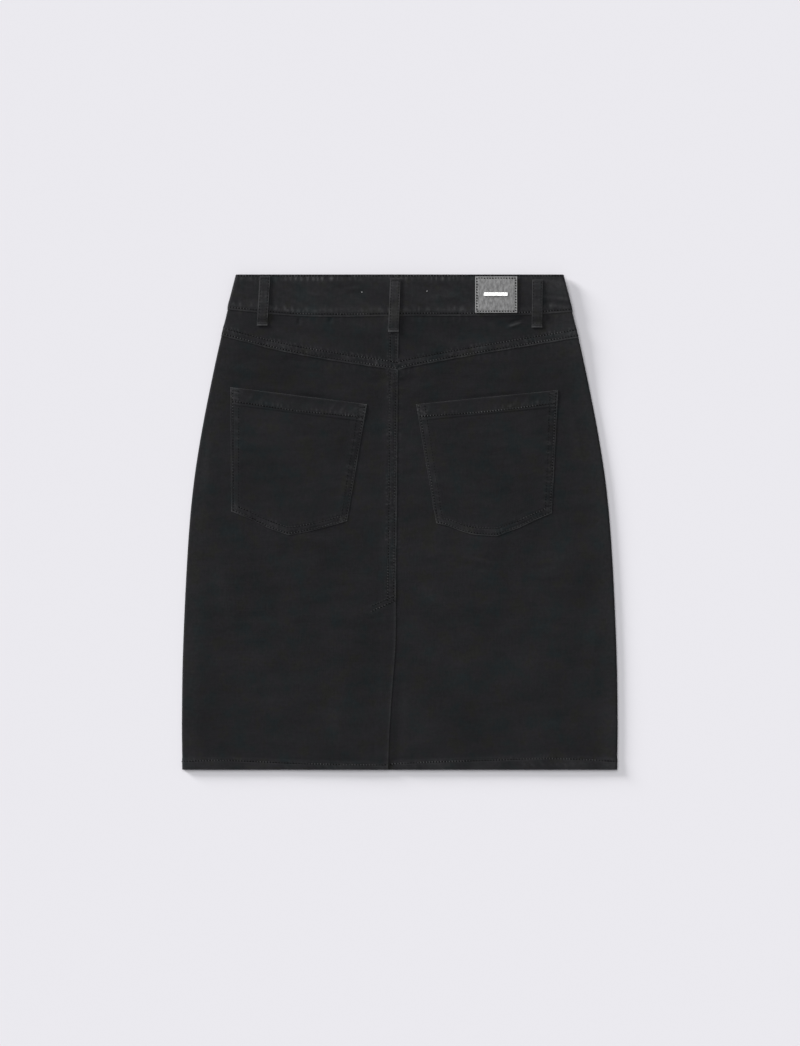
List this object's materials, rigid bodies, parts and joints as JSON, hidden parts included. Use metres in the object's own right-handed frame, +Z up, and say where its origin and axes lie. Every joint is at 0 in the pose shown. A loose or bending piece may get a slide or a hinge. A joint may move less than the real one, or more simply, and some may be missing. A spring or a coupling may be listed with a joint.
{
  "type": "denim skirt",
  "caption": "Knee-length black denim skirt laid flat with its back up: waistband, yoke, patch pockets, belt loops, blank patch and a vent in the centre-back seam.",
  "frame": {"origin": "middle of the skirt's outline, on the surface that it lies on", "axes": "+Y to the waist, +X to the wearer's right, +Z up, out of the skirt's back"},
  "size_m": [0.4664, 0.53, 0.0124],
  "materials": {
    "denim": "matt black stretch denim, fine twill",
    "patch_leather": "soft grey leather, sewn round the edge",
    "bright_metal": "bright plated metal"
  },
  "bodies": {
    "root": {"front_panel_left": "denim", "front_panel_right": "denim", "back_panel_left": "denim", "back_panel_right": "denim", "back_yoke_left": "denim", "back_yoke_right": "denim", "front_waistband_left": "denim", "front_waistband_right": "denim", "back_waistband": "denim", "back_pocket_left": "denim", "back_pocket_right": "denim", "belt_loop_back_left": "denim", "belt_loop_back_centre": "denim", "belt_loop_back_right": "denim", "belt_loop_front_left": "denim", "belt_loop_front_right": "denim", "waist_patch": "patch_leather", "patch_bar": "bright_metal", "waist_button": "bright_metal"}
  },
  "joints": []
}
